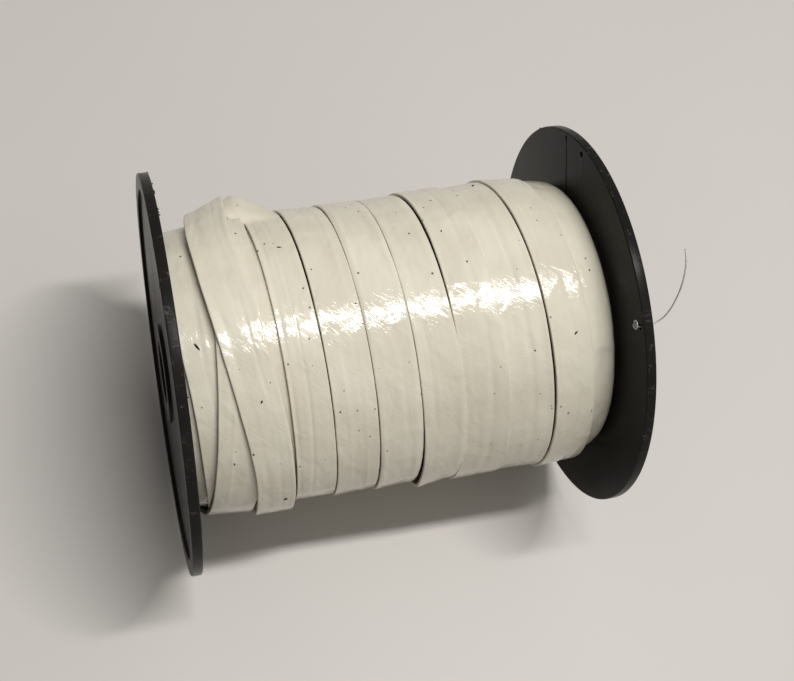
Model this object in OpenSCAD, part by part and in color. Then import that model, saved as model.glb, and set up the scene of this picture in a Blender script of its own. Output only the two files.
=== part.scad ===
// Reel of flat plastic strip, lying on its side. The reel's axis is the X axis and the origin is
// on that axis, midway between the two flanges. Angles round the reel are measured from straight
// up (+Z) towards the back (+Y).

/* [Flanges] */
// Diameter of each flange
flange_d = 100; // [90:1:140]
// Thickness of a flange at its rim
rim_t = 2.5; // [2:0.1:4]
// Depth of the shallow recess in a flange's outer face
recess = 0.9; // [0.3:0.1:1.2]
// Radial width of the raised rim round that recess
rim_w = 4; // [3:0.5:6]
// Overall width across both flanges
overall_w = 110; // [108:1:112]
// Width of the bevel on the rim's edges
bevel = 0.3; // [0.1:0.1:0.5]

/* [Core] */
// Outside diameter of the barrel that the strip is wound on
barrel_d = 63; // [60:0.5:64]
// Wall thickness of the barrel
barrel_wall = 1.5; // [1:0.1:3]
// Diameter of the spindle bore
bore_d = 16; // [10:0.5:22]
// Wall thickness of the hub tubes and of the rings that plug into the barrel
hub_wall = 2.5; // [2:0.5:4]
// How far the hub tubes reach inwards from the flanges
hub_l = 12; // [8:1:20]
// How far the locating rings reach into the barrel
spigot_l = 8; // [5:1:12]
// Number of ribs between a hub and its locating ring
ribs = 6; // [3:1:8]
// Thickness of a rib
rib_t = 1.5; // [1:0.1:2]
// How far the ribs reach inwards
rib_l = 4; // [2:0.5:4.5]

/* [Lead-out details] */
// Width and depth of the lead-out groove on a flange's inner face
groove = 0.6; // [0.4:0.1:1]
// Diameter of the two small anchor holes near a flange's rim
anchor_d = 1.6; // [1.2:0.1:2]
// Distance of the anchor holes from the axis
anchor_r = 47.8; // [47.6:0.1:48]
// Diameter of the hole at the outer end of the groove
lead_d = 1.2; // [1:0.1:1.4]
// Distance of that hole from the axis
lead_r = 48.6; // [48:0.1:48.6]
// Diameter of the fine tie wire
wire_d = 0.36; // [0.3:0.02:0.5]

/* [Strip] */
// Thickness of the flat strip
strip_t = 1; // [0.8:0.05:1.05]
// Gap between neighbouring turns of the outer layer
turn_gap = 0.3; // [0.2:0.1:0.8]

/* [Hidden] */
$fn = 96;
regular = 7;
buried = 3;

flange_r = flange_d / 2;
inner_x = overall_w / 2 - rim_t;
barrel_r = barrel_d / 2;
bore_r = bore_d / 2;
spigot_r = barrel_r - barrel_wall - 0.1;
hub_r = bore_r + hub_wall;
play = 0.1;
step = 5;
black = [0.09, 0.085, 0.08];
cream = [0.87, 0.84, 0.76];
steel = [0.62, 0.62, 0.6];

// The angle at which the helix is numbered, and one whole turn
face_angle = -23;
turn_start = face_angle - 180;
turn_end = face_angle + 180;

// Angles of the lead-out groove and the two anchor holes on the right flange
groove_angle = 42;
wire_angle = -30;
spare_angle = 30;
// The left flange is the same moulding, turned by this much
left_turn = 150;

// Radius of the wound body under the outer layer, by place along the axis
body_r = [[-60, 33.4], [-52.5, 33.4], [-46, 34.4], [-36, 35], [0, 35.5], [25, 36.4], [45, 36.9],
          [60, 36.9]];
function body_at(x) = lookup(x, body_r);

// Right edge of the outer layer's turns by number of turns, a whole number at face_angle.
// Each turn's left edge is the next turn's right edge.
turn_edge = [[-1, 55], [0, 44.2], [1, 33.8], [2, 22.2], [3, 11.4], [4, 1.2], [5, -9.5],
             [6, -20], [7, -30.6], [8, -41]];
function edge_at(turns) = lookup(turns, turn_edge);
function turns_at(number, angle) = number - 1 + (angle - face_angle) / 360;

// Routes of the loose turns: angle, left edge, right edge, lift of each of them off the body
turn_7_rise = [[turn_start, 0, 0, 0, 0], [40, 1, 0, 0, 0], [52, 0.2, 0, 2.6, 0],
               [60, -1.4, 0, 5, 0], [75, -1.9, 0, 4.4, 0], [100, -1.6, 0, 1.8, 0],
               [130, -0.6, 0, 0.4, 0], [turn_end, 0, 0, 0, 0]];
turn_8_route = [[turn_start, -35.5, -25.3, 0, 0], [-150, -36.3, -26.7, 0, 0],
                [-135, -36.8, -27.2, 0.2, 0.2], [-106, -37.6, -28.4, 2.3, 2.1],
                [-75, -38, -28.9, 2.3, 2.2], [-57, -39.1, -29.6, 2.3, 2.3],
                [-36, -41.3, -31.2, 2.3, 2.3], [-11, -43.9, -33.4, 2.3, 2.3],
                [10, -45.6, -35, 2.3, 2.3], [30, -46.2, -36, 2.3, 3],
                [45, -45.6, -35.5, 2.4, 4.5], [60, -44.6, -34.8, 2.6, 6],
                [75, -43.5, -33.6, 2.8, 6], [100, -42, -31.6, 2.8, 3.6],
                [130, -41.5, -31, 1.6, 1.6], [turn_end, -41.4, -30.9, 0.8, 1.4]];
turn_9_route = [[turn_start, -41.4, -30.9, 0.8, 1.4], [-165, -44.6, -34, 0.8, 1.4],
                [-140, -47.6, -37, 0.5, 1.1], [-106, -48.6, -38, 0, 0],
                [-70, -49.6, -38.9, 0, 0], [-41, -50.4, -39.8, 0, 0],
                [-15, -51.7, -41.1, 0, 0], [15, -52.2, -41.7, 0, 0],
                [120, -52.2, -41.7, 0, 0], [turn_end, -52.2, -41.7, 0.6, 2]];
tail_route = [[turn_start, -52.2, -41.7, 0.6, 2], [-180, -51.9, -41.4, 1.1, 2.2],
              [-150, -51.4, -40.9, 1.8, 2.3], [-106, -49.3, -38.7, 1.2, 1.2],
              [-70, -47.3, -36.7, 1.2, 1.2], [-48, -45.9, -35.3, 1.2, 1.2],
              [-11, -43.7, -33.1, 1.2, 1.2], [20, -42.2, -31.9, 1.2, 1.2],
              [46, -41.8, -32, 1.2, 1.2]];

// The tie wire's route: a small eye inside the flange, out through its hole, then a loose curl
wire_route = [[51, -23.1, 41.5], [50.9, -23.9, 41.7], [50.9, -24.6, 42.2], [50.9, -24.7, 43],
              [51, -24.1, 43.6], [51.1, -23.3, 43.5], [51.1, -22.8, 42.8], [51.2, -23, 42],
              [51.7, -23.6, 41.4], [52.6, -23.9, 41.3], [53.8, -23.9, 41.4], [55.4, -23.8, 41.5],
              [57, -23.4, 41.8], [58.6, -22.8, 42.6], [60.2, -21.6, 43.8], [61.6, -20, 45.4],
              [62.8, -18.2, 47], [63.8, -16.2, 48.4], [64.6, -14.2, 49.4], [65.1, -12.2, 50.2],
              [65.4, -10.2, 50.8]];

// A point at a distance r from the axis, at an angle round it
function around(x, r, angle) = [x, r * sin(angle), r * cos(angle)];

// The value in a column of a route at an angle
function along(route, column, angle) = lookup(angle, [for (row = route) [row[0], row[column]]]);

// Triangles that close a swept solid of some rings with the same number of sides
function side_faces(rings, sides) = [
    for (i = [0 : rings - 2], j = [0 : sides - 1])
        let (a = i * sides + j, b = i * sides + (j + 1) % sides)
            each [[a, a + sides, b], [b, a + sides, b + sides]]
];
function end_faces(rings, sides) = let (last = (rings - 1) * sides) [
    for (j = [1 : sides - 2]) each [[0, j, j + 1], [last, last + j + 1, last + j]]
];

module swept(rings) {
    sides = len(rings[0]);
    polyhedron(
        points = [for (ring = rings) each ring],
        faces = concat(side_faces(len(rings), sides), end_faces(len(rings), sides))
    );
}

// The strip's cross-section at one angle of a route
function strip_ring(row) =
    let (inner_left = body_at(row[1]) + play + row[3],
         inner_right = body_at(row[2]) + play + row[4])
    [
        around(row[1], inner_left, row[0]),
        around(row[1], inner_left + strip_t, row[0]),
        around(row[2], inner_right + strip_t, row[0]),
        around(row[2], inner_right, row[0])
    ];

function stations(first, last) =
    let (count = ceil((last - first) / step))
    [for (i = [0 : count]) first + (last - first) * i / count];

module strip_along(route) {
    swept([
        for (angle = stations(route[0][0], route[len(route) - 1][0]))
            strip_ring([angle, for (column = [1 : 4]) along(route, column, angle)])
    ]);
}

// A turn of the outer layer, with how its edges leave the plain helix
module strip_turn(number, rise = [[turn_start, 0, 0, 0, 0], [turn_end, 0, 0, 0, 0]]) {
    color(cream)
        swept([
            for (angle = stations(turn_start, turn_end))
                let (turns = turns_at(number, angle))
                    strip_ring([
                        angle,
                        edge_at(turns + 1) + turn_gap + along(rise, 1, angle),
                        edge_at(turns) + along(rise, 2, angle),
                        along(rise, 3, angle),
                        along(rise, 4, angle)
                    ])
        ]);
}

// One wound layer below the outer one: a share of the way from the barrel to the body's surface
function layer_r(share, x) = barrel_r + (body_at(x) - barrel_r) * share;

module strip_layer(number) {
    places = [-inner_x, -46, -36, 0, 25, 45, inner_x];
    color(cream)
        rotate([0, 90, 0])
            rotate_extrude()
                polygon(concat(
                    [for (x = places) [layer_r(number / (buried + 1), x), x]],
                    [for (i = [len(places) - 1 : -1 : 0])
                        [layer_r((number - 1) / (buried + 1), places[i]), places[i]]]
                ));
}

// Half of a flange's section, with the outer face at height rim_t and the inner face at 0
module flange_section() {
    polygon([
        [bore_r, -hub_l], [hub_r, -hub_l], [hub_r, 0],
        [spigot_r - hub_wall, 0], [spigot_r - hub_wall, -spigot_l], [spigot_r, -spigot_l],
        [spigot_r, 0], [flange_r - bevel, 0], [flange_r, bevel],
        [flange_r, rim_t - bevel], [flange_r - bevel, rim_t], [flange_r - rim_w, rim_t],
        [flange_r - rim_w, rim_t - recess], [hub_r + 2, rim_t - recess], [hub_r + 2, rim_t],
        [bore_r, rim_t]
    ]);
}

// Flat ribs that brace the hub tube, from inside its wall to inside the locating ring's
module hub_ribs() {
    reach = spigot_r - hub_r;
    for (i = [0 : ribs - 1])
        rotate([0, 0, (i + 0.5) * 360 / ribs])
            translate([hub_r - hub_wall / 2, -rib_t / 2, -rib_l])
                cube([reach, rib_t, rib_l + rim_t / 4]);
}

module hole_at(angle, r, d) {
    rotate([0, 0, angle])
        translate([-r, 0, -1])
            cylinder(h = rim_t + 2, d = d, $fn = 32);
}

// A flange as moulded, with its axis along Z and its outer face up
module flange_moulding() {
    difference() {
        union() {
            rotate_extrude()
                flange_section();
            hub_ribs();
        }
        rotate([0, 0, groove_angle])
            translate([-lead_r, -groove / 2, -1])
                cube([lead_r - barrel_r, groove, 1 + groove]);
        hole_at(groove_angle, lead_r, lead_d);
        hole_at(wire_angle, anchor_r, anchor_d);
        hole_at(spare_angle, anchor_r, anchor_d);
    }
}

module flange_right() {
    color(black)
        translate([inner_x, 0, 0])
            rotate([0, 90, 0])
                mirror([0, 1, 0])
                    flange_moulding();
}

module flange_left() {
    color(black)
        translate([-inner_x, 0, 0])
            rotate([0, -90, 0])
                rotate([0, 0, left_turn])
                    flange_moulding();
}

module barrel() {
    color(cream)
        rotate([0, 90, 0])
            difference() {
                cylinder(h = 2 * inner_x, r = barrel_r, center = true);
                cylinder(h = 2 * inner_x + 2, r = barrel_r - barrel_wall, center = true);
            }
}

// A ring of the wire's section, square to the route at one of its points
function unit(v) = v / norm(v);
function wire_ring(points, i) =
    let (last = len(points) - 1,
         ahead = unit(points[min(i + 1, last)] - points[max(i - 1, 0)]),
         side = unit(cross(ahead, [0.2, 0.9, -0.4])),
         up = cross(side, ahead))
    [for (j = [0 : 7]) points[i] + wire_d / 2 * (cos(45 * j) * side + sin(45 * j) * up)];

// A point on the smooth curve through four neighbouring points of the route
function smooth(a, b, c, d, t) =
    0.5 * (2 * b + (c - a) * t + (2 * a - 5 * b + 4 * c - d) * t * t
    + (3 * b - a - 3 * c + d) * t * t * t);
function smooth_route(route, parts) =
    let (last = len(route) - 1)
    [for (i = [0 : last - 1], k = [0 : parts - 1])
        smooth(route[max(i - 1, 0)], route[i], route[i + 1], route[min(i + 2, last)], k / parts),
     route[last]];

module tie_wire() {
    points = smooth_route(wire_route, 3);
    color(steel)
        swept([for (i = [0 : len(points) - 1]) wire_ring(points, i)]);
}

flange_left();
flange_right();
barrel();
for (i = [1 : buried + 1])
    strip_layer(i);
for (i = [1 : regular - 1])
    strip_turn(i);
strip_turn(7, turn_7_rise);  // strip_turn_7
color(cream) strip_along(turn_8_route);  // strip_turn_8
color(cream) strip_along(turn_9_route);  // strip_turn_9
color(cream) strip_along(tail_route);  // strip_tail
tie_wire();
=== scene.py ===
import math
import random

import bmesh
import bpy
import numpy as np
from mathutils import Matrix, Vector


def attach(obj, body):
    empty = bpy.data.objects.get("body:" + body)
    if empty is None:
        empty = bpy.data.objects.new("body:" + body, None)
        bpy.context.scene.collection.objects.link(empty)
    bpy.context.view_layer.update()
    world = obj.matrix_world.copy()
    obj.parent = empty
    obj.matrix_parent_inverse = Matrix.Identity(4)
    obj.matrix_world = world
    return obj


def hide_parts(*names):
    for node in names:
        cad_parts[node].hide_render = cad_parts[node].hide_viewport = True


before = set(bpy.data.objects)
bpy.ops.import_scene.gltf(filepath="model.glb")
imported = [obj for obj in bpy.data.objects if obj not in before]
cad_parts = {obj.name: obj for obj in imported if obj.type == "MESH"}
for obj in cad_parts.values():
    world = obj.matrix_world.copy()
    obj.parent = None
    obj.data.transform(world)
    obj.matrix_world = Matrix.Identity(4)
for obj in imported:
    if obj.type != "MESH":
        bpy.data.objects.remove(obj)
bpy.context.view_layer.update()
MM = 0.001
scene = bpy.context.scene

# ---------------------------------------------------------------- camera

camera_data = bpy.data.cameras.new("camera")
camera_data.lens = 58.5
camera_data.sensor_width = 36
camera_data.shift_y = -0.126
camera_data.clip_start = 0.01
camera_data.clip_end = 20
camera = bpy.data.objects.new("camera", camera_data)
camera.location = (-0.06827, -0.12822, 0.30207)
camera.rotation_euler = [math.radians(a) for a in (29.18, -8.165, -12.90)]
scene.collection.objects.link(camera)
scene.camera = camera

# ---------------------------------------------------------------- sizes, in millimetres

# Flange: radius, thickness at the rim, depth of the outer face's recess, width of the raised rim,
# and the inner face's distance from the middle of the reel
FLANGE_R = 50
RIM_T = 2.5
RECESS = 0.9
RIM_W = 4
INNER_X = 52.5
# The ring that locates the barrel, the hub tube, the raised boss round it on the outer face, and
# the ribs between ring and hub, with how far they run into both and into the flange
SPIGOT_R = 29.9
SPIGOT_IN = 27.4
SPIGOT_L = 8
HUB_R = 10.5
BORE_R = 8
HUB_L = 12
BOSS_R = HUB_R + 2
RIB_T = 1.5
RIB_L = 4
RIB_ROOT = 1.2
RIB_BASE = 0.6
FIRST_RIB = 30
# A flange's small holes: angle, distance from the axis, diameter
HOLES = [(42, 48.6, 1.2), (-30, 47.8, 1.6), (30, 47.8, 1.6)]
# The groove in its inner face, which ends at the first of those holes
GROOVE_ANGLE, GROOVE_END = HOLES[0][:2]
GROOVE_W = 0.6
GROOVE_DEPTH = 0.6
# How far a cutter stands clear of the face that it cuts
CLEAR = 1
# How far the left flange's moulding is turned round the axis from the right one's
LEFT_TURN = -30

# Barrel, and the radius that the strip's length is reckoned at
BARREL_R = 31.5
WOUND_R = 36.5

# Strip: width and thickness of its outline, radius of its edges, half of the plain gap between
# two turns, play between the layers, and how far its edges wander
STRIP_W = 10.3
STRIP_T = 1.0
EDGE_R = 0.26
HALF_GAP = 0.15
PLAY = 0.1
WANDER = 0.035
# The angle round the axis that faces the camera, and the ends of each visible turn
FACE_ANGLE = -23
TURN_START = FACE_ANGLE - 180
TURN_END = FACE_ANGLE + 180
TAIL_END = 46
# Degrees between two outlines along a turn
STEP = 1.0

# Radius of the wound body under the outer layer, by place along the axis
BODY_R = [(-60, 33.4), (-52.5, 33.4), (-46, 34.4), (-36, 35), (0, 35.5), (25, 36.4), (45, 36.9),
          (60, 36.9)]

# Radius of the layer under the outer one by place along the axis, rounded off at its ends
UNDER = [(-52.4, 32.6), (-52.2, 33), (-51.5, 33.3), (-46, 34.4), (-36, 35), (0, 35.5), (25, 36.4),
         (40, 36.7), (44, 36.5), (47, 36.2), (49.4, 35.7), (50.8, 34.9), (51.5, 34), (51.9, 32.6)]
# Where that layer's pattern begins and ends round the axis, the height of its waves, and the
# number of steps along its profile
UNDER_SEAM = 157
UNDER_WAVE = 0.07
UNDER_STEPS = 160

# Right edge of the outer layer's turns by number of turns, a whole number at FACE_ANGLE
TURN_EDGE = [(-1, 55), (0, 44.2), (1, 33.8), (2, 22.2), (3, 11.4), (4, 1.2), (5, -9.5), (6, -20),
             (7, -30.6), (8, -41)]

# Each boundary between two turns, numbered by the turn on its right: angle, gap between the two
# edges, lift of the right-hand turn's left edge, lift of the left-hand turn's right edge
BOUNDARY = {
    0: [(-203, 0.3, 0, 0), (-112, 0.3, 0, 0), (-85, 0.3, 0, -0.1), (-50, 0.3, 0, -0.5),
        (60, 0.3, 0, -0.6), (157, 0.3, 0, 0)],
    1: [(-203, 0.2, 0, 0), (-112, 0.4, 0.8, 0), (-98, 0.3, 0.4, 0), (-60, 0.4, 0.3, 0),
        (0, 0.25, 0.25, 0), (45, 0.25, 0.35, 0), (65, 0.3, 0.5, 0), (157, 0.2, 0, 0)],
    2: [(-203, 0.1, 0.2, 0), (-112, -0.5, -0.1, 0.3), (-60, -0.7, -0.45, 0.3),
        (0, -0.7, -0.4, 0.35), (60, -0.6, -0.35, 0.35), (157, 0.1, 0.2, 0)],
    3: [(-203, 0.2, 0, 0), (-112, -0.4, 1, 0), (-95, -0.5, 0.4, 0), (-60, -0.8, -0.4, 0),
        (-35, -0.5, -0.2, 0), (-18, 0.1, 0.2, 0), (0, 0.35, 0.35, 0), (45, 0.5, 0.5, 0),
        (65, 0.6, 0.5, 0), (157, 0.2, 0, 0)],
    4: [(-203, 0.2, 0, 0), (-112, 1.1, 2, 0), (-97, 0.8, 1.1, 0), (-75, 0.4, 0.5, 0),
        (-45, 0.15, 0.15, 0), (0, 0.05, 0.05, 0), (65, 0.05, 0.1, 0), (157, 0.2, 0, 0)],
    5: [(-203, 0.2, 0, 0), (-112, 0.3, 0.7, 0), (-95, 0.3, 0.4, 0), (-50, 0.15, 0.2, 0),
        (0, 0.05, 0.1, 0), (25, 0.1, 0.15, 0), (45, 0.3, 0.3, 0), (65, 0.4, 0.4, 0),
        (157, 0.2, 0, 0)],
    6: [(-203, 0.2, 0, 0), (-112, 0.3, 0.6, 0), (-95, 0.2, 0.3, 0), (-60, 0.15, 0.2, 0),
        (-20, 0.2, 0.25, 0), (20, 0.35, 0.4, 0), (65, 0.4, 0.5, 0), (157, 0.2, 0, 0)],
}

# How turn 7 leaves the plain helix where it rises under turn 8: angle, shift of its left and right
# edges, further lift of each edge
TURN_7_RISE = [(-203, 0, 0, 0, 0), (30, 0.9, 0, 0, 0), (42, 0.9, 0, 0, 0), (43.4, -0.4, 0, 0.3, 0),
               (44.8, -2.2, 0, 1, 0), (46.6, -3.4, 0, 2, 0), (51, -4, 0, 2.8, 0),
               (60, -3.8, 0, 4, 0), (75, -3.8, 0, 4, 0), (100, -2.4, 0, 1.8, 0),
               (130, -0.6, 0, 0.4, 0), (157, 0, 0, 0, 0)]

# How far turn 7's arch bulges above a straight line between its edges, across its width, and
# how much of that bulge stands at each angle
ARCH = [(0, 0.3), (0.1, 1.7), (0.21, 2.7), (0.39, 2.5), (0.58, 1.9), (0.81, 0.9), (1, 0)]
ARCH_SHARE = [(-203, 0), (43, 0), (47, 0.3), (52, 0.7), (58, 1), (70, 1), (85, 0.7), (105, 0.2),
              (125, 0), (157, 0)]
# The loose end of the winding: angle, left edge, right edge, lift of each edge off the body
TURN_8 = [(-203, -35.5, -25.3, 0, 0), (-150, -36.3, -26.7, 0, 0), (-135, -36.8, -27.2, 0.2, 0.2),
          (-106, -37.6, -28.4, 2.3, 2.1), (-75, -38, -28.9, 2.3, 2.2),
          (-57, -39.1, -29.6, 2.3, 2.3), (-36, -41.3, -31.2, 2.3, 2.3),
          (-11, -43.9, -33.4, 2.3, 2.3), (10, -45.6, -35, 2.3, 2.3), (30, -46.2, -36, 2.3, 3),
          (45, -45.6, -35.5, 2.4, 4.5), (60, -44.6, -34.8, 2.6, 6), (75, -43.5, -33.6, 2.8, 6),
          (100, -42, -31.6, 2.8, 3.6), (130, -41.5, -31, 1.6, 1.6), (157, -41.4, -30.9, 0.8, 1.4)]
TURN_9 = [(-203, -41.4, -30.9, 0.8, 1.4), (-165, -44.6, -34, 0.8, 1.4),
          (-140, -47.6, -37, 0.5, 1.1), (-106, -48.6, -38, 0, 0), (-70, -49.6, -38.9, 0, 0),
          (-41, -50.4, -39.8, 0, 0), (-15, -51.7, -41.1, 0, 0), (15, -52.2, -41.7, 0, 0),
          (120, -52.2, -41.7, 0, 0), (157, -52.2, -41.7, 0.6, 2)]
TAIL = [(-203, -52.2, -41.7, 0.6, 2), (-180, -51.9, -41.4, 1.1, 2.2),
        (-150, -51.4, -40.9, 1.8, 2.3), (-106, -49.3, -38.7, 1.2, 1.2),
        (-70, -47.3, -36.7, 1.2, 1.2), (-48, -45.9, -35.3, 1.2, 1.2),
        (-11, -43.7, -33.1, 1.2, 1.2), (20, -42.2, -31.9, 1.2, 1.2),
        (46, -41.8, -32, 1.2, 1.2)]

# Larger black flakes on the winding: place along the axis, angle, turn from the axis, length, width
FLAKES = [(-48.1, -15.5, 120, 1.9, 0.45), (40.6, -31, 40, 1.1, 0.35), (-31.2, -85, 10, 0.9, 0.5),
          (-25.3, 21, 175, 1.1, 0.4), (-35.7, -37.7, 70, 0.7, 0.35), (-42.9, -61.5, 90, 0.5, 0.4),
          (28.6, 48.7, 30, 0.8, 0.35), (13.7, 16.4, 100, 0.6, 0.3)]

# Burrs on a flange's rim: how far the outer edge's burrs stand inside the outer face, and how deep
# a burr's middle lies under the rim
BURR_INSET = 0.35
BURR_DEPTH = 0.12

# Tie wire: diameter, and its route from the eye inside the flange to its bare end
WIRE_D = 0.36
WIRE_ROUTE = [(51, -23.1, 41.5), (50.9, -23.9, 41.7), (50.9, -24.6, 42.2), (50.9, -24.7, 43),
              (51, -24.1, 43.6), (51.1, -23.3, 43.5), (51.1, -22.8, 42.8), (51.2, -23, 42),
              (51.7, -23.6, 41.4), (52.6, -23.9, 41.3), (53.8, -23.9, 41.4), (55.4, -23.8, 41.5),
              (57, -23.4, 41.8), (58.6, -22.8, 42.6), (60.2, -21.6, 43.8), (61.6, -20, 45.4),
              (62.8, -18.2, 47), (63.8, -16.2, 48.4), (64.6, -14.2, 49.4), (65.1, -12.2, 50.2),
              (65.4, -10.2, 50.8)]

# ---------------------------------------------------------------- curves through tables


def slopes(xs, ys):
    """Slopes at a table's rows for a smooth curve that never overshoots them."""
    h = np.diff(xs)
    d = np.diff(ys) / h
    m = np.zeros(len(xs))
    m[0], m[-1] = d[0], d[-1]
    for i in range(1, len(xs) - 1):
        if d[i - 1] * d[i] > 0:
            w1, w2 = 2 * h[i] + h[i - 1], h[i] + 2 * h[i - 1]
            m[i] = (w1 + w2) / (w1 / d[i - 1] + w2 / d[i])
    return m


class Smooth:
    """A smooth curve through each column of a table."""

    def __init__(self, table):
        self.xs = np.array([row[0] for row in table], float)
        self.ys = [np.array([row[c] for row in table], float) for c in range(1, len(table[0]))]
        self.ms = [slopes(self.xs, ys) for ys in self.ys]

    def at(self, x):
        x = min(max(x, self.xs[0]), self.xs[-1])
        i = int(min(max(np.searchsorted(self.xs, x) - 1, 0), len(self.xs) - 2))
        h = self.xs[i + 1] - self.xs[i]
        t = (x - self.xs[i]) / h
        a, b = 2 * t ** 3 - 3 * t ** 2 + 1, t ** 3 - 2 * t ** 2 + t
        c, d = -2 * t ** 3 + 3 * t ** 2, t ** 3 - t ** 2
        return [a * y[i] + b * h * m[i] + c * y[i + 1] + d * h * m[i + 1]
                for y, m in zip(self.ys, self.ms)]


body_curve = Smooth(BODY_R)
edge_curve = Smooth(TURN_EDGE)
boundary_curves = {n: Smooth(table) for n, table in BOUNDARY.items()}
under_curve = Smooth(UNDER)
arch, arch_share = Smooth(ARCH), Smooth(ARCH_SHARE)


def body_at(x):
    """Radius of the wound body at a place along the axis."""
    return body_curve.at(x)[0]


def edge_at(turns):
    """Place of the plain helix's edge after a number of turns."""
    return edge_curve.at(turns)[0]


def around(x, r, angle):
    """The point at an angle round the axis, from +Z towards +Y, in metres."""
    a = math.radians(angle)
    return Vector((x * MM, r * math.sin(a) * MM, r * math.cos(a) * MM))


# ---------------------------------------------------------------- mesh helpers


def mesh_object(name, verts, faces, uvs=None, smooth=True):
    """A mesh in the scene, with one UV point for each vertex if they are given."""
    mesh = bpy.data.meshes.new(name)
    mesh.from_pydata([tuple(v) for v in verts], [], faces)
    if uvs is not None:
        layer = mesh.uv_layers.new(name="strip")
        for loop in mesh.loops:
            layer.data[loop.index].uv = uvs[loop.vertex_index]
    for polygon in mesh.polygons:
        polygon.use_smooth = smooth
    mesh.update()
    obj = bpy.data.objects.new(name, mesh)
    scene.collection.objects.link(obj)
    return obj


def tube_faces(rings, sides, closed_loop=False):
    """Faces between rings of vertices, which end in caps or close in a loop."""
    faces = []
    for i in range(rings if closed_loop else rings - 1):
        for j in range(sides):
            a, b = i * sides + j, i * sides + (j + 1) % sides
            c = (i + 1) % rings * sides + (j + 1) % sides
            d = (i + 1) % rings * sides + j
            faces.append((a, b, c, d))
    if not closed_loop:
        faces.append(tuple(reversed(range(sides))))
        faces.append(tuple((rings - 1) * sides + j for j in range(sides)))
    return faces


def finish_piece(obj, slot, *nodes):
    """Fixes a piece to the reel and hides the CAD nodes that it stands for; slot is not used."""
    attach(obj, "root")
    if nodes:
        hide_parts(*nodes)
    return obj


# ---------------------------------------------------------------- tie wire


def catmull(route, parts):
    """A smooth curve through a route's points, with some parts between each two."""
    pts = [Vector(p) for p in route]
    out = []
    for i in range(len(pts) - 1):
        a, b, c = pts[max(i - 1, 0)], pts[i], pts[i + 1]
        d = pts[min(i + 2, len(pts) - 1)]
        for k in range(parts):
            t = k / parts
            out.append(0.5 * (2 * b + (c - a) * t + (2 * a - 5 * b + 4 * c - d) * t * t
                              + (3 * b - a - 3 * c + d) * t ** 3))
    return out + [pts[-1]]


def tube(name, points, radius, sides=12):
    """A closed tube of round section along some points, with its ends slightly rounded."""
    side = Vector((0.2, 0.9, -0.4))
    rings = []
    for i, p in enumerate(points):
        ahead = (points[min(i + 1, len(points) - 1)] - points[max(i - 1, 0)]).normalized()
        side = (side - ahead * side.dot(ahead)).normalized()
        up = ahead.cross(side)
        r = radius * (0.7 if i in (0, len(points) - 1) else 1 + 0.06 * math.sin(i * 2.3))
        rings += [(p + side * r * math.cos(2 * math.pi * k / sides)
                   + up * r * math.sin(2 * math.pi * k / sides)) * MM for k in range(sides)]
    return mesh_object(name, rings, tube_faces(len(points), sides))


wire_points = catmull(WIRE_ROUTE, 5)
wire = finish_piece(tube("fine_tie_wire", wire_points, WIRE_D / 2), "wire", "tie_wire")

# ---------------------------------------------------------------- strip


def section(top_points=30, edge_points=5, bottom_points=6):
    """The flat strip's outline as (share of the width, height), from its left edge over the top."""
    w, t, r = STRIP_W, STRIP_T, EDGE_R
    out = []
    for i in range(edge_points):
        a = math.pi - math.pi / 2 * i / edge_points
        out.append((r + r * math.cos(a), t - r + r * math.sin(a)))
    for i in range(top_points + 1):
        out.append((r + (w - 2 * r) * i / top_points, t))
    for i in range(1, edge_points + 1):
        a = math.pi / 2 - math.pi / 2 * i / edge_points
        out.append((w - r + r * math.cos(a), t - r + r * math.sin(a)))
    for i in range(1, edge_points + 1):
        a = -math.pi / 2 * i / edge_points
        out.append((w - r + r * math.cos(a), r + r * math.sin(a)))
    for i in range(1, bottom_points):
        out.append((w - r - (w - 2 * r) * i / bottom_points, 0))
    for i in range(edge_points):
        a = -math.pi / 2 - math.pi / 2 * i / edge_points
        out.append((r + r * math.cos(a), r + r * math.sin(a)))
    return [(s / w, h) for s, h in out]


SECTION = section()
# One unit of the strip's UV map is 100 mm
UV_SCALE = 0.01


class Waves:
    """Slow random waves along a strip, from a seed."""

    def __init__(self, seed, count=5, longest=120):
        r = random.Random(seed)
        self.parts = [(r.uniform(0.3, 1) / (k + 1), (k + 1) * 360 / longest * r.uniform(0.7, 1.3),
                       r.uniform(0, 360)) for k in range(count)]

    def at(self, angle):
        return sum(a * math.sin(math.radians(f * angle + p)) for a, f, p in self.parts)


class Creases:
    """Shallow ridges that run along a strip and wander slowly across it."""

    def __init__(self, seed, count=4):
        r = random.Random(seed)
        self.ridges = [(r.uniform(0.06, 0.94), r.uniform(0.03, 0.1), r.uniform(-0.22, 0.22),
                        Waves(seed * 31 + k, 3, 200), Waves(seed * 57 + k, 3, 90))
                       for k in range(count)]

    def at(self, share, angle):
        total = 0
        for place, width, height, wander, swell in self.ridges:
            d = (share - place - 0.05 * wander.at(angle)) / width
            if abs(d) < 3:
                total += height * (0.6 + 0.4 * swell.at(angle)) * math.exp(-d * d)
        return total


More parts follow.
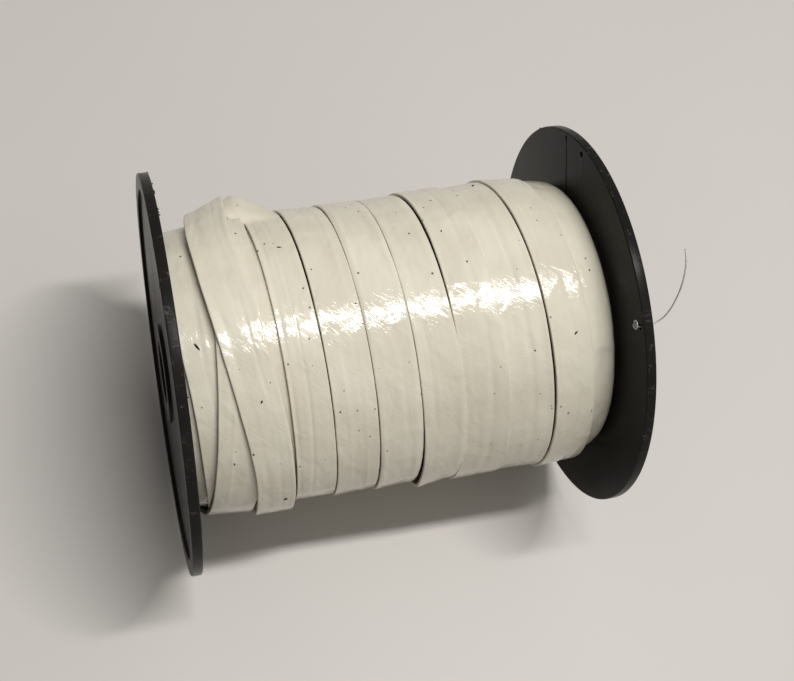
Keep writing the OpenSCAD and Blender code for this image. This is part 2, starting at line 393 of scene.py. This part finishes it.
def ribbon(name, route, first, last, seed, shift=None):
    """A length of flat strip along route(angle) -> left, right, lift of each off the body."""
    creases = Creases(seed)
    wobble_left, wobble_right = Waves(seed + 100, 6, 60), Waves(seed + 200, 6, 60)
    count = int(math.ceil((last - first) / STEP))
    verts, uvs = [], []
    length = 0
    for i in range(count + 1):
        angle = first + (last - first) * i / count
        left, right, lift_left, lift_right = route(angle)
        left += WANDER * wobble_left.at(angle)
        right += WANDER * wobble_right.at(angle)
        r_left = body_at(left) + PLAY + lift_left
        r_right = body_at(right) + PLAY + lift_right
        across = Vector((right - left, r_right - r_left))
        up = Vector((-across.y, across.x)).normalized()
        length += WOUND_R * math.radians((last - first) / count)
        for share, height in SECTION:
            h = height
            if height > STRIP_T / 2:
                # creases fade out towards both edges
                h += creases.at(share, angle) * min(1, 12 * share, 12 * (1 - share))
            if shift:
                h += shift(share, angle)
            x = left + across.x * share + up.x * h
            r = r_left + across.y * share + up.y * h
            verts.append(around(x, r, angle))
            # each turn takes its own part of the pattern
            uvs.append((share * STRIP_W * UV_SCALE + seed * 1.7,
                        length * UV_SCALE + seed * 0.37))
    return mesh_object(name, verts, tube_faces(count + 1, len(SECTION)), uvs)


def helix_route(number):
    """Edges of a regular turn of the outer layer, with its gaps and lifts."""

    def route(angle):
        turns = number - 1 + (angle - FACE_ANGLE) / 360
        left, right = edge_at(turns + 1) + HALF_GAP, edge_at(turns) - HALF_GAP
        lift_left = lift_right = 0
        if number in boundary_curves:
            gap, lift, _ = boundary_curves[number].at(angle)
            left += gap / 2 - HALF_GAP
            lift_left += lift
        if number - 1 in boundary_curves:
            gap, _, lift = boundary_curves[number - 1].at(angle)
            right -= gap / 2 - HALF_GAP
            lift_right += lift
        return left, right, lift_left, lift_right

    return route


def turn_7_route():
    """Turn 7, which leaves the plain helix under the loose turn."""
    plain, rise = helix_route(7), Smooth(TURN_7_RISE)

    def route(angle):
        _, right, lift_left, lift_right = plain(angle)
        left = edge_at(7 + (angle - FACE_ANGLE) / 360) + 2 * HALF_GAP
        d_left, d_right, rise_left, rise_right = rise.at(angle)
        return left + d_left, right + d_right, lift_left + rise_left, lift_right + rise_right

    return route


def table_route(table):
    """Edges and lifts straight from a table."""
    return Smooth(table).at


def arch_bulge(share, angle):
    """How far turn 7's arch stands above the straight line."""
    return arch.at(share)[0] * arch_share.at(angle)[0]


def wind(name, node, *ribbon_parts):
    """One length of the strip, in place of a CAD node."""
    strips.append(finish_piece(ribbon(name, *ribbon_parts), "strip", node))


strips = []
plain_turns = [(number, helix_route(number)) for number in range(1, 7)]
for number, route in (*plain_turns, (7, turn_7_route()), (8, table_route(TURN_8)),
                      (9, table_route(TURN_9))):
    wind(f"winding_turn_{number}", f"strip_turn_{number}", route, TURN_START, TURN_END, number,
         arch_bulge if number == 7 else None)
wind("winding_tail", "strip_tail", table_route(TAIL), TURN_START, TAIL_END, 10)


def wound_body():
    """The layers under the outer one, as a turned solid with shallow waves."""
    sides, verts, uvs = 360, [], []
    start, end = UNDER[0][0], UNDER[-1][0]
    places = [start + (end - start) * i / UNDER_STEPS for i in range(UNDER_STEPS + 1)]
    profile = [(places[0], BARREL_R)]
    profile += [(x, under_curve.at(x)[0]) for x in places]
    profile += [(places[-1], BARREL_R)]
    broad, cross = Waves(900, 4, 180), Waves(901, 4, 180)
    for k in range(sides):
        angle = 360 * k / sides
        # the waves fade out over the last 30 degrees on each side of the seam
        share = min(1, (180 - abs(angle - 180)) / 30)
        for x, r in profile:
            if r > BARREL_R + 1:
                wave = broad.at(angle + 3 * x) + 0.6 * cross.at(4 * angle + x)
                r += UNDER_WAVE * share * wave
            verts.append(around(x, r, angle + UNDER_SEAM))
            uvs.append((x * UV_SCALE + 23, WOUND_R * math.radians(angle) * UV_SCALE))
    return mesh_object("winding_under_layers", verts,
                       tube_faces(sides, len(profile), closed_loop=True), uvs)


under = finish_piece(wound_body(), "strip", "strip_layer_1", "strip_layer_2", "strip_layer_3",
                     "strip_layer_4")
strips.append(under)

# ---------------------------------------------------------------- flanges


def lathe(name, profile, segments=360):
    """A solid turned about the X axis from a closed outline of (x, radius)."""
    verts = [around(x, r, 360 * k / segments) for k in range(segments) for x, r in profile]
    return mesh_object(name, verts, tube_faces(segments, len(profile), closed_loop=True))


def rounded(outline, radii, points=4):
    """An outline with each corner rounded by its own radius."""
    out = []
    n = len(outline)
    for i, (corner, r) in enumerate(zip(outline, radii)):
        p, a, b = Vector(corner), Vector(outline[i - 1]), Vector(outline[(i + 1) % n])
        if r == 0:
            out.append(tuple(p))
            continue
        u, v = (a - p).normalized(), (b - p).normalized()
        start, end = p + u * r, p + v * r
        for k in range(points + 1):
            t = k / points
            q = start * (1 - t) ** 2 + 2 * p * t * (1 - t) + end * t * t
            out.append(tuple(q))
    return out


def combine(obj, operation, others):
    """Joins other solids to obj, or takes them out of it, and removes them."""
    for other in others:
        modifier = obj.modifiers.new("combine", "BOOLEAN")
        modifier.operation = operation
        modifier.solver = "EXACT"
        modifier.object = other
    apply_modifiers(obj)
    for other in others:
        bpy.data.objects.remove(other)


def apply_modifiers(obj):
    """Puts the shape that the modifiers make in the mesh's place."""
    bpy.context.view_layer.update()
    graph = bpy.context.evaluated_depsgraph_get()
    made = bpy.data.meshes.new_from_object(obj.evaluated_get(graph))
    obj.modifiers.clear()
    obj.data = made


def rod(x0, x1, y, z, r, sides=24):
    """A closed rod along X."""
    verts = []
    for x in (x0, x1):
        for k in range(sides):
            a = 2 * math.pi * k / sides
            verts.append((x * MM, (y + r * math.cos(a)) * MM, (z + r * math.sin(a)) * MM))
    faces = [(k, (k + 1) % sides, sides + (k + 1) % sides, sides + k) for k in range(sides)]
    faces += [tuple(reversed(range(sides))), tuple(range(sides, 2 * sides))]
    return mesh_object("cutter", verts, faces, smooth=False)


def radial_box(x0, x1, r0, r1, width, angle):
    """A closed box that lies along a radius at an angle round the axis."""
    a = math.radians(angle)
    out, side = Vector((0, math.sin(a), math.cos(a))), Vector((0, math.cos(a), -math.sin(a)))
    verts = []
    for x in (x0, x1):
        for r in (r0, r1):
            for s in (-width / 2, width / 2):
                verts.append(tuple((Vector((x, 0, 0)) + out * r + side * s) * MM))
    faces = [(0, 1, 3, 2), (4, 6, 7, 5), (0, 4, 5, 1), (2, 3, 7, 6), (0, 2, 6, 4), (1, 5, 7, 3)]
    return mesh_object("cutter", verts, faces, smooth=False)


def flange(name, side, turn, node):
    """One flange moulding. side is 1 on the right and -1 on the left."""
    outline = [(-HUB_L, BORE_R), (-HUB_L, HUB_R), (0, HUB_R), (0, SPIGOT_IN),
               (-SPIGOT_L, SPIGOT_IN), (-SPIGOT_L, SPIGOT_R), (0, SPIGOT_R), (0, FLANGE_R),
               (RIM_T, FLANGE_R), (RIM_T, FLANGE_R - RIM_W), (RIM_T - RECESS, FLANGE_R - RIM_W),
               (RIM_T - RECESS, BOSS_R), (RIM_T, BOSS_R), (RIM_T, BORE_R)]
    radii = [0.3, 0.3, 0.4, 0.4, 0.2, 0.2, 0.1, 0.35, 0.35, 0.25, 0.25, 0.25, 0.25, 0.3]
    obj = lathe(name, [(side * (INNER_X + x), r) for x, r in rounded(outline, radii)])
    near, far = side * (INNER_X - CLEAR), side * (INNER_X + RIM_T + CLEAR)
    groove_bed = side * (INNER_X + GROOVE_DEPTH)
    cutters = []
    for angle, r, d in HOLES:
        a = math.radians(angle + turn)
        cutters.append(rod(near, far, r * math.sin(a), r * math.cos(a), d / 2))
    cutters.append(radial_box(near, groove_bed, BARREL_R, GROOVE_END, GROOVE_W,
                              GROOVE_ANGLE + turn))
    rib_in, rib_out = side * (INNER_X - RIB_L), side * (INNER_X + RIB_BASE)
    ribs = [radial_box(rib_in, rib_out, HUB_R - RIB_ROOT, SPIGOT_IN + RIB_ROOT, RIB_T,
                       FIRST_RIB + 60 * k + turn) for k in range(6)]
    for piece in (obj, *cutters, *ribs):
        fix_normals(piece)
    combine(obj, "UNION", ribs)
    combine(obj, "DIFFERENCE", cutters)
    return finish_piece(obj, "flange", node)


def fix_normals(obj):
    """Turns every face of a closed mesh outwards."""
    bm = bmesh.new()
    bm.from_mesh(obj.data)
    bmesh.ops.recalc_face_normals(bm, faces=bm.faces)
    bm.to_mesh(obj.data)
    bm.free()


def smooth_by_angle(obj, degrees):
    """Smooth shading, with every edge sharper than an angle kept sharp."""
    obj.data.shade_smooth()
    obj.data.set_sharp_from_angle(angle=math.radians(degrees))


right_flange = flange("flange_disc_right", 1, 0, "flange_right")
left_flange = flange("flange_disc_left", -1, LEFT_TURN, "flange_left")
for obj in (right_flange, left_flange):
    smooth_by_angle(obj, 40)
for obj in strips:
    fix_normals(obj)

# ---------------------------------------------------------------- burrs and flakes


def chips(name, places, seed):
    """Small broken bits of plastic at (place, direction, length, thickness), in millimetres."""
    r = random.Random(seed)
    verts, faces = [], []
    rings, sides = 5, 6
    for place, along, length, thick in places:
        along = along.normalized()
        side = along.orthogonal().normalized()
        up = along.cross(side)
        for i in range(rings):
            t = i / (rings - 1)
            bend = side * math.sin(math.pi * t) * r.uniform(0, 0.2) * length
            for k in range(sides):
                a = 2 * math.pi * k / sides
                w = thick / 2 * (0.35 + math.sin(math.pi * (0.1 + 0.8 * t))) * r.uniform(0.6, 1.1)
                verts.append((place + along * (t - 0.5) * length + bend
                              + side * w * math.cos(a) + up * w * math.sin(a)) * MM)
        base = len(verts) - rings * sides
        faces += [tuple(base + v for v in face) for face in tube_faces(rings, sides)]
    return mesh_object(name, verts, faces, smooth=False)


def rim_places(x_inner, x_outer, count, seed):
    """Where burrs stand along the two edges of a flange's rim, most of them behind the top."""
    r = random.Random(seed)
    out = []
    for _ in range(count):
        angle = r.choice((1, 1, -1)) * r.uniform(14, 76)
        x = r.choice((x_inner, x_inner, x_outer)) * (1 - 0.002 * r.random())
        a = math.radians(angle)
        outward = Vector((0, math.sin(a), math.cos(a)))
        along = outward * r.uniform(0.2, 1)
        along += Vector((r.uniform(-0.5, 0.5), 0, 0))
        along += Vector((0, outward.z, -outward.y)) * r.uniform(-1, 1)
        length = r.choice((0.3, 0.4, 0.5, 1.1))
        centre = Vector((x, 0, 0)) + outward * (FLANGE_R - BURR_DEPTH)
        out.append((centre, along, length, 0.09 if length > 1 else r.uniform(0.12, 0.3)))
    return out


def strip_places():
    """Where the larger black flakes lie on the winding, on whatever surface is outermost."""
    out = []
    for x, angle, turn, length, thick in FLAKES:
        a = math.radians(angle)
        outward = Vector((0, math.sin(a), math.cos(a)))
        start = Vector((x * MM, 0, 0)) + outward * 0.049
        best = None
        for obj in strips:
            found, point, _, _ = obj.ray_cast(start, -outward)
            if found and (best is None or (point - start).length < (best - start).length):
                best = point
        if best:
            across, round_it = Vector((1, 0, 0)), Vector((0, outward.z, -outward.y))
            b = math.radians(turn)
            out.append((best / MM + outward * 0.02, across * math.cos(b) + round_it * math.sin(b),
                        length, thick))
    return out


bpy.context.view_layer.update()
rim_outer = INNER_X + RIM_T - BURR_INSET
burr_sets = [("rim_burrs_left", rim_places(-INNER_X, -rim_outer, 34, 5), 5),
             ("rim_burrs_right", rim_places(INNER_X, rim_outer, 16, 6), 6),
             ("black_flakes", strip_places(), 8)]
burrs = [finish_piece(chips(*burr_set), "flange") for burr_set in burr_sets]

# ---------------------------------------------------------------- materials


class Nodes:
    """A small helper that builds a node material."""

    def __init__(self, name):
        self.material = bpy.data.materials.new(name)
        self.material.use_nodes = True
        self.tree = self.material.node_tree
        self.shader = self.tree.nodes["Principled BSDF"]

    def add(self, kind, **settings):
        """A node of a kind, with its settings."""
        node = self.tree.nodes.new(kind)
        for key, value in settings.items():
            setattr(node, key, value)
        return node

    def link(self, a, b):
        """Joins output a to input b."""
        self.tree.links.new(a, b)

    def value(self, socket, x):
        """Sets a socket to a constant, or joins an output to it."""
        if isinstance(x, (int, float, tuple, list)):
            socket.default_value = x
        else:
            self.link(x, socket)

    def math(self, operation, a, b=0.0):
        """A sum, product or comparison of two values."""
        node = self.add("ShaderNodeMath", operation=operation)
        self.value(node.inputs[0], a)
        self.value(node.inputs[1], b)
        return node.outputs[0]

    def mapping(self, source, scale, location=(0, 0, 0), rotation=(0, 0, 0)):
        """Coordinates scaled, moved and turned."""
        node = self.add("ShaderNodeMapping")
        self.link(source, node.inputs["Vector"])
        node.inputs["Scale"].default_value = scale
        node.inputs["Location"].default_value = location
        node.inputs["Rotation"].default_value = rotation
        return node.outputs[0]

    def noise(self, source, scale, detail=2.0, roughness=0.5, distortion=0.0):
        """Noise between 0 and 1."""
        node = self.add("ShaderNodeTexNoise")
        self.link(source, node.inputs["Vector"])
        node.inputs["Scale"].default_value = scale
        node.inputs["Detail"].default_value = detail
        node.inputs["Roughness"].default_value = roughness
        node.inputs["Distortion"].default_value = distortion
        return node.outputs["Fac"]

    def ramp(self, source, low, high, out_low=0.0, out_high=1.0):
        """A value that goes from out_low to out_high as the source goes from low to high."""
        node = self.add("ShaderNodeMapRange")
        self.value(node.inputs["Value"], source)
        node.inputs["From Min"].default_value = low
        node.inputs["From Max"].default_value = high
        node.inputs["To Min"].default_value = out_low
        node.inputs["To Max"].default_value = out_high
        return node.outputs["Result"]

    def mix(self, fac, a, b):
        """Colour a, turning into colour b as fac goes to 1."""
        node = self.add("ShaderNodeMix", data_type="RGBA")
        self.value(node.inputs["Factor"], fac)
        # inputs 6 and 7 and output 2 are the node's colours
        for socket, x in ((node.inputs[6], a), (node.inputs[7], b)):
            if isinstance(x, tuple):
                socket.default_value = (*x, 1)
            else:
                self.link(x, socket)
        return node.outputs[2]

    def bump(self, height, distance, normal=None):
        """A normal tilted by a height, on top of another normal if one is given."""
        node = self.add("ShaderNodeBump")
        node.inputs["Strength"].default_value = 1
        node.inputs["Distance"].default_value = distance
        self.link(height, node.inputs["Height"])
        if normal is not None:
            self.link(normal, node.inputs["Normal"])
        return node.outputs["Normal"]

    def specks(self, source, scale, warp_scale, warp, share_without, sizes):
        """1 inside small ragged specks, in some of the cells that fill a plane, and 0 elsewhere."""
        warped = self.add("ShaderNodeVectorMath", operation="MULTIPLY_ADD")
        self.link(self.noise(source, warp_scale, 2, 0.6), warped.inputs[0])
        warped.inputs[1].default_value = warp
        self.link(source, warped.inputs[2])
        cells = self.add("ShaderNodeTexVoronoi")
        self.link(self.mapping(warped.outputs[0], scale), cells.inputs["Vector"])
        cells.inputs["Scale"].default_value = 1
        cells.inputs["Randomness"].default_value = 1
        draw = self.add("ShaderNodeSeparateColor")
        self.link(cells.outputs["Color"], draw.inputs[0])
        chosen = self.math("GREATER_THAN", draw.outputs[0], share_without)
        radius = self.ramp(draw.outputs[1], 0, 1, *sizes)
        inside = self.math("LESS_THAN", cells.outputs["Distance"], radius)
        return self.math("MULTIPLY", chosen, inside)


def strip_material(name="cream_strip", dust_and_painted_shade=None):
    """Glossy cream plastic with specks, and with painted shade, a near-black colour, over any
    stretch of the axis given.
    """
    n = Nodes(name)
    uv = n.add("ShaderNodeUVMap", uv_map="strip").outputs["UV"]
    # patterns for the colour
    slow = n.noise(n.mapping(uv, (1, 1, 1)), 6, 3)
    streak = n.noise(n.mapping(uv, (90, 2.2, 1)), 1, 3, 0.6)
    # patterns for the surface: drawn lines, slanting dabs and where they are faint, and swells
    lines = n.noise(n.mapping(uv, (420, 4, 1)), 1, 2, 0.6)
    turned = n.mapping(uv, (1, 1, 1), rotation=(0, 0, 0.8))
    dabs = n.noise(n.mapping(turned, (42, 125, 1)), 1, 2, 0.45, 1.2)
    swells = n.noise(n.mapping(uv, (22, 14, 1)), 1, 1, 0.5, 0.6)
    calm = n.ramp(n.noise(n.mapping(uv, (9, 9, 1), location=(3, 7, 0)), 1, 1), 0.36, 0.62, 0.55, 1)
    fine = n.noise(n.mapping(uv, (600, 500, 1)), 1, 2, 0.5, 0.6)
    # colour
    cream = n.mix(n.ramp(slow, 0.35, 0.65), (0.685, 0.64, 0.525), (0.76, 0.722, 0.607))
    cream = n.mix(n.ramp(streak, 0.3, 0.7, 0.0, 0.3), cream, (0.605, 0.57, 0.47))
    specks = n.specks(uv, (46, 40, 1), 900, (0.006, 0.006, 0), 0.6, (0.02, 0.13))
    colour = n.mix(n.math("MULTIPLY", specks, 0.9), cream, (0.03, 0.025, 0.02))
    if dust_and_painted_shade:
        # painted shade: the layer below is coloured near-black where it shows in the gaps between
        # the turns
        place = n.add("ShaderNodeSeparateXYZ")
        n.link(n.add("ShaderNodeTexCoord").outputs["Object"], place.inputs[0])
        after = n.math("GREATER_THAN", place.outputs[0], dust_and_painted_shade[0])
        before = n.math("LESS_THAN", place.outputs[0], dust_and_painted_shade[1])
        colour = n.mix(n.math("MULTIPLY", after, before), colour, (0.05, 0.042, 0.033))
    n.link(colour, n.shader.inputs["Base Color"])
    # surface
    n.link(n.ramp(fine, 0.3, 0.7, 0.12, 0.19), n.shader.inputs["Roughness"])
    n.shader.inputs["IOR"].default_value = 1.47
    normal = n.bump(swells, 0.0004)
    normal = n.bump(lines, 0.000006, normal=normal)
    normal = n.bump(n.math("MULTIPLY", dabs, calm), 0.000075, normal=normal)
    n.link(normal, n.shader.inputs["Normal"])
    return n.material


def flange_material():
    """Black moulding, with a little dust, and scuffed near the rim."""
    n = Nodes("black_moulding")
    place = n.add("ShaderNodeTexCoord").outputs["Object"]
    slow = n.noise(place, 30, 4, 0.6)
    grain = n.noise(place, 2200, 3, 0.6)
    dust = n.noise(place, 900, 5, 0.8)
    patches = n.noise(place, 45, 3, 0.6)
    scuffs = n.noise(n.mapping(place, (1, 1, 4)), 320, 3, 0.7, 1.2)
    # a mask that rises over the last two millimetres before the rim, by distance from the axis
    split = n.add("ShaderNodeSeparateXYZ")
    n.link(place, split.inputs[0])
    y2 = n.math("MULTIPLY", split.outputs[1], split.outputs[1])
    z2 = n.math("MULTIPLY", split.outputs[2], split.outputs[2])
    radius = n.math("SQRT", n.math("ADD", y2, z2))
    edge = n.ramp(radius, 0.0482, 0.0499)
    colour = n.mix(n.ramp(slow, 0.35, 0.7), (0.011, 0.0098, 0.009), (0.018, 0.0165, 0.015))
    # random dust patches on the moulding itself; no shade is painted in this mask
    dust_and_painted_shade = n.math("MULTIPLY", n.ramp(dust, 0.6, 0.74, 0, 0.4), n.ramp(patches, 0.42, 0.6))
    colour = n.mix(dust_and_painted_shade, colour, (0.10, 0.095, 0.09))
    worn = n.math("MULTIPLY", edge, n.ramp(scuffs, 0.6, 0.7, 0, 0.4))
    colour = n.mix(worn, colour, (0.16, 0.15, 0.14))
    n.link(colour, n.shader.inputs["Base Color"])
    n.link(n.ramp(slow, 0.35, 0.7, 0.26, 0.36), n.shader.inputs["Roughness"])
    n.shader.inputs["IOR"].default_value = 1.4
    n.shader.inputs["Specular IOR Level"].default_value = 0.1
    normal = n.bump(slow, 0.0002)
    n.link(n.bump(grain, 0.000012, normal=normal), n.shader.inputs["Normal"])
    return n.material


def barrel_material():
    """Plain off-white tube."""
    n = Nodes("off_white_tube")
    place = n.add("ShaderNodeTexCoord").outputs["Object"]
    lines = n.noise(n.mapping(place, (4, 300, 300)), 1, 3)
    slow = n.noise(place, 40, 3)
    n.link(n.mix(n.ramp(slow, 0.3, 0.7), (0.56, 0.54, 0.48), (0.62, 0.60, 0.54)),
           n.shader.inputs["Base Color"])
    n.shader.inputs["Roughness"].default_value = 0.5
    n.link(n.bump(lines, 0.00003), n.shader.inputs["Normal"])
    return n.material


def wire_material():
    """Dull drawn wire."""
    n = Nodes("drawn_wire")
    place = n.add("ShaderNodeTexCoord").outputs["Object"]
    grain = n.noise(place, 1500, 3)
    n.link(n.mix(grain, (0.26, 0.255, 0.25), (0.52, 0.51, 0.5)), n.shader.inputs["Base Color"])
    n.shader.inputs["Metallic"].default_value = 0.5
    n.link(n.ramp(grain, 0.3, 0.7, 0.3, 0.5), n.shader.inputs["Roughness"])
    return n.material


def wear(obj, material):
    """Gives a mesh one material."""
    obj.data.materials.clear()
    obj.data.materials.append(material)


strip_look, flange_look = strip_material(), flange_material()
for obj in strips:
    wear(obj, strip_look)
# the layer below gets painted shade between these two places along the axis, in metres, where it
# shows through the gaps between the turns
wear(under, strip_material("cream_strip_below", dust_and_painted_shade=(-0.0285, 0.038)))
for obj in (left_flange, right_flange, *burrs):
    wear(obj, flange_look)
wear(wire, wire_material())
barrel_look = barrel_material()
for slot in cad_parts["barrel"].material_slots:
    slot.material = barrel_look

# ---------------------------------------------------------------- floor and light


def floor_material():
    """A plain pale table."""
    n = Nodes("pale_table")
    place = n.add("ShaderNodeTexCoord").outputs["Object"]
    slow = n.noise(place, 6, 3)
    n.link(n.mix(slow, (0.60, 0.575, 0.55), (0.64, 0.615, 0.59)), n.shader.inputs["Base Color"])
    n.shader.inputs["Roughness"].default_value = 0.55
    return n.material


# the reel lies on its two flanges, on a table 6 m wide
corners = [(x, y, -FLANGE_R * MM) for x, y in ((-3, -3), (3, -3), (3, 3), (-3, 3))]
floor = mesh_object("table_top", corners, [(0, 1, 2, 3)], smooth=False)
wear(floor, floor_material())


def area_light(name, place, target, size, power, colour):
    """A rectangular lamp that faces a target."""
    data = bpy.data.lights.new(name, "AREA")
    data.shape = "RECTANGLE"
    data.size, data.size_y = size
    data.energy = power
    data.color = colour
    obj = bpy.data.objects.new(name, data)
    obj.location = place
    direction = Vector(target) - Vector(place)
    obj.rotation_euler = direction.to_track_quat("-Z", "Y").to_euler()
    scene.collection.objects.link(obj)


# a long lamp overhead, which faces straight down
LAMP_X, LAMP_Y = 0.22, -0.045
area_light("lamp_above", (LAMP_X, LAMP_Y, 1.0), (LAMP_X, LAMP_Y, 0), (0.52, 0.06), 8.1,
           (1.0, 0.985, 0.96))

# a room that is bright up on the right and dim low on the left
world = bpy.data.worlds.new("room")
world.use_nodes = True
sky = world.node_tree
direction = sky.nodes.new("ShaderNodeTexCoord")
tilt = sky.nodes.new("ShaderNodeVectorMath")
tilt.operation = "DOT_PRODUCT"
tilt.inputs[1].default_value = (0.72, 0, 0.69)
share = sky.nodes.new("ShaderNodeMapRange")
share.inputs["From Min"].default_value = -0.35
share.inputs["From Max"].default_value = 1
share.inputs["To Min"].default_value = 0.015
share.inputs["To Max"].default_value = 0.5
sky.links.new(direction.outputs["Generated"], tilt.inputs[0])
sky.links.new(tilt.outputs["Value"], share.inputs["Value"])
sky.links.new(share.outputs["Result"], sky.nodes["Background"].inputs["Strength"])
sky.nodes["Background"].inputs["Color"].default_value = (1.0, 0.975, 0.93, 1)
scene.world = world
scene.view_settings.view_transform = "Standard"

# ---------------------------------------------------------------- finish

bpy.context.view_layer.update()
